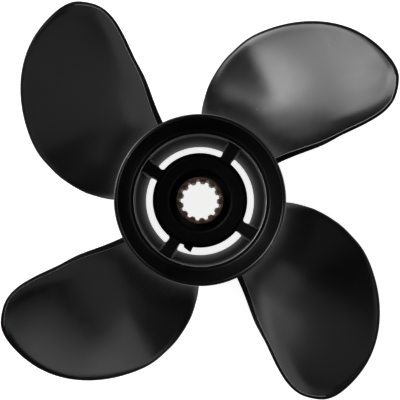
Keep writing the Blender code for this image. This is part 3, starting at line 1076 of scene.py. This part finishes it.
def blade_mesh():
    builder = new_grid()
    number_layer = builder.verts.layers.int.new("number")
    for number, vert in enumerate(builder.verts):
        vert[number_layer] = number
    raised = bmesh.ops.extrude_face_region(builder, geom=builder.faces[:])["geom"]
    back_verts = {v for v in raised if isinstance(v, bmesh.types.BMVert)}
    for vert in builder.verts:
        place = PLACES[vert[number_layer]]
        back = vert in back_verts
        radius, angle = place["back" if back else "face"]
        share = chord_share(radius, angle)
        vert.co = blade_point(radius, angle, share, back, place["fall"], place["upright"])
        if place["back"][0] < BARREL_RADIUS + SAME_POINT:
            vert.co.xy = vert.co.xy * (1.0 - ROOT_DEPTH / BARREL_RADIUS)
    bmesh.ops.recalc_face_normals(builder, faces=builder.faces)
    builder.normal_update()
    for face in builder.faces:
        backs = sum(v in back_verts for v in face.verts)
        on_edge = 0 < backs < len(face.verts)
        face.material_index = EDGE_FINISH if on_edge else FACE_FINISH
    return builder


print("the root dips into the barrel by", round(ROOT_DEPTH / MM, 2), "mm")

# %% [markdown]
# The strip's two edges are bevelled: more on the face, less on the back. The bevel's innermost
# faces on the trailing side get a pale grey, painted on as a highlight line along the ridge. Each
# blade is the same mesh, turned by a quarter.

# %% Bevel, turn and finish the four blades
FRONT_ROUND = 0.35 * MM
BACK_ROUND = 0.2 * MM
HIGHLIGHT_BEFORE = radians(-20.0)
HIGHLIGHT_REACH = 127.0 * MM
BLADE_SHARP_EDGE = radians(40.0)


def is_highlight_ridge(face):
    """On the ridge between the pressure face and the trailing edge, where a pale grey painted
    highlight goes.
    """
    middle = face.calc_center_median()
    beside_face = any(other.material_index == FACE_FINISH
                      for edge in face.edges for other in edge.link_faces)
    trailing = atan2(middle.y, middle.x) < HIGHLIGHT_BEFORE
    return beside_face and trailing and middle.xy.length < HIGHLIGHT_REACH


def strip_edges(builder, back):
    """The border strip's edges beside the back, or else beside the pressure face."""
    edges = []
    for edge in builder.edges:
        strips = [f for f in edge.link_faces if f.material_index == EDGE_FINISH]
        others = [f for f in edge.link_faces if f.material_index == FACE_FINISH]
        if strips and others and (others[0].normal.z < 0) == back:
            edges.append(edge)
    return edges


def bevel_border(builder):
    for back, width in ((False, FRONT_ROUND), (True, BACK_ROUND)):
        edges = strip_edges(builder, back)
        made = bmesh.ops.bevel(builder, geom=edges, offset=width, segments=3, profile=0.5,
                               affect="EDGES", material=-1, clamp_overlap=False)["faces"]
        for face in made:
            face.material_index = EDGE_FINISH
        # the innermost trailing-side bevel faces get the pale painted highlight
        ridge_faces = [] if back else [face for face in made if is_highlight_ridge(face)]
        for face in ridge_faces:
            face.material_index = RIDGE_HIGHLIGHT_FINISH


def make_blade(number):
    builder = blade_mesh()
    bevel_border(builder)
    turn_piece(builder, number)
    blade = finish_piece(f"blade_{number + 1}_casting", builder, blade_paint,
                         [f"blade_{number + 1}"], sharp_from=BLADE_SHARP_EDGE)
    for paint in (matt_paint, ridge_highlight):
        blade.data.materials.append(paint)
    return blade


blades = [make_blade(number) for number in range(4)]

# %% [markdown]
# ## Floor
#
# The photograph has a pure white ground with no shadow: the propeller lies on a table that is lit
# from below. Light comes up through the exhaust slots and greys the bore. The round floor is
# white, and it glows, most of all in the middle.

# %% Lay the floor
FLOOR_RADIUS = 1.1
FLOOR_WHITE = (0.8, 0.8, 0.8, 1.0)
FLOOR_ROUGHNESS = 0.9
LAMP_WHITE = (1.0, 1.0, 1.0, 1.0)
PANEL_EDGE = (0.20, 0.45)
FLOOR_GLOW = (0.86, 0.30)


def make_floor():
    builder = bmesh.new()
    bmesh.ops.create_circle(builder, cap_ends=True, segments=TURNED_STEPS, radius=FLOOR_RADIUS)
    mesh = bpy.data.meshes.new("floor")
    builder.to_mesh(mesh)
    builder.free()
    material, tree, shader, place = new_finish("white_floor")
    shader.inputs["Base Color"].default_value = FLOOR_WHITE
    shader.inputs["Roughness"].default_value = FLOOR_ROUGHNESS
    shader.inputs["Emission Color"].default_value = LAMP_WHITE
    reach = node(tree, "VectorMath", {"operation": "LENGTH"}, Vector=place).outputs["Value"]
    glow = ranged(tree, reach, *PANEL_EDGE, *FLOOR_GLOW)
    tree.links.new(glow, shader.inputs["Emission Strength"])
    mesh.materials.append(material)
    floor = bpy.data.objects.new("floor", mesh)
    bpy.context.scene.collection.objects.link(floor)
    return floor


floor = make_floor()
print("floor:", round(2 * FLOOR_RADIUS, 2), "m across")

# %% [markdown]
# ## Lights
#
# Black gloss shows nothing but reflections, so each pale patch on a blade is a soft box, seen in
# a curved mirror. A patch's place tells the direction of its box, and its tone tells how bright
# the box is. The key stands to the upper left: one box, brighter cores in it, and a dim surround
# that makes its edge soft. The boxes to the right and below are dimmer and fill the other blades.

# %% Hang the lights
LIGHT_DISTANCE = 1.6
AIM_HEIGHT = 60.0 * MM
# name, azimuth round the picture, angle off the view axis, turn, width and height seen from the
# propeller, all in degrees, and brightness
LIGHTS = (
    ("key_box", 148.0, 58.0, 45.0, 26.0, 36.0, 4.0),
    ("key_core_high", 131.0, 45.0, 20.0, 30.0, 22.0, 1.9),
    ("key_core_low", 160.0, 69.0, 0.0, 28.0, 22.0, 3.2),
    ("key_surround", 157.0, 70.0, 15.0, 42.0, 22.0, 1.2),
    ("key_low_box", 138.0, 75.0, 0.0, 26.0, 14.0, 0.9),
    ("key_spot", 134.0, 48.5, 0.0, 8.0, 9.0, 2.2),
    ("right_box", 12.0, 62.0, -12.0, 64.0, 26.0, 1.15),
    ("right_soft_box", 51.0, 57.0, 0.0, 18.0, 30.0, 0.27),
    ("right_high_box", 328.0, 44.0, 0.0, 26.0, 22.0, 0.7),
    ("right_high_core", 331.0, 40.0, 0.0, 22.0, 17.0, 0.9),
    ("right_low_strip", 40.0, 78.0, 0.0, 40.0, 14.0, 0.75),
    ("left_strip", 208.0, 74.0, 29.0, 30.0, 40.0, 0.75),
    ("low_strip", 241.0, 61.0, 0.0, 34.0, 42.0, 0.34),
    ("low_right_strip", 310.0, 73.0, 13.0, 52.0, 20.0, 0.39),
)


def soft_box(name, azimuth, off_axis, turn, width, height, radiance):
    """A rectangular soft box that faces the propeller; all angles are in degrees."""
    around, away, roll = radians(azimuth) - PICTURE_TURN, radians(off_axis), radians(turn)
    back = Vector((sin(away) * cos(around), sin(away) * sin(around), cos(away)))
    across = Vector((-sin(around), cos(around), 0.0))
    up = back.cross(across)
    across, up = cos(roll) * across + sin(roll) * up, cos(roll) * up - sin(roll) * across
    lamp = bpy.data.lights.new(name, "AREA")
    lamp.shape = "RECTANGLE"
    lamp.size = 2.0 * LIGHT_DISTANCE * tan(radians(width / 2))
    lamp.size_y = 2.0 * LIGHT_DISTANCE * tan(radians(height / 2))
    lamp.energy = radiance * pi * lamp.size * lamp.size_y
    holder = bpy.data.objects.new(name, lamp)
    place = back * LIGHT_DISTANCE + Vector((0.0, 0.0, AIM_HEIGHT))
    holder.matrix_world = axes_matrix(place, across, up, back)
    holder.visible_camera = False
    bpy.context.scene.collection.objects.link(holder)
    return holder


soft_boxes = [soft_box(*row) for row in LIGHTS]
print("soft boxes:", len(soft_boxes))

# %% [markdown]
# ## Room
#
# The room is dark where the gloss looks for it, or the black would turn grey. A camera that
# stands low at the side sees past the floor, so for the camera alone the room is as pale as the
# floor's rim.

# %% Make the room
ROOM_DARK = 0.01
ROOM_SEEN = 0.68


def make_room():
    world = bpy.data.worlds.new("room")
    world.use_nodes = True
    tree = world.node_tree
    background = tree.nodes["Background"]
    seen = tree.nodes.new("ShaderNodeLightPath").outputs["Is Camera Ray"]
    strength = ranged(tree, seen, 0.0, 1.0, ROOM_DARK, ROOM_SEEN)
    tree.links.new(strength, background.inputs["Strength"])
    background.inputs["Color"].default_value = LAMP_WHITE
    bpy.context.scene.world = world
    return world


room = make_room()
bpy.context.scene.view_settings.view_transform = "Standard"
print("world:", room.name)
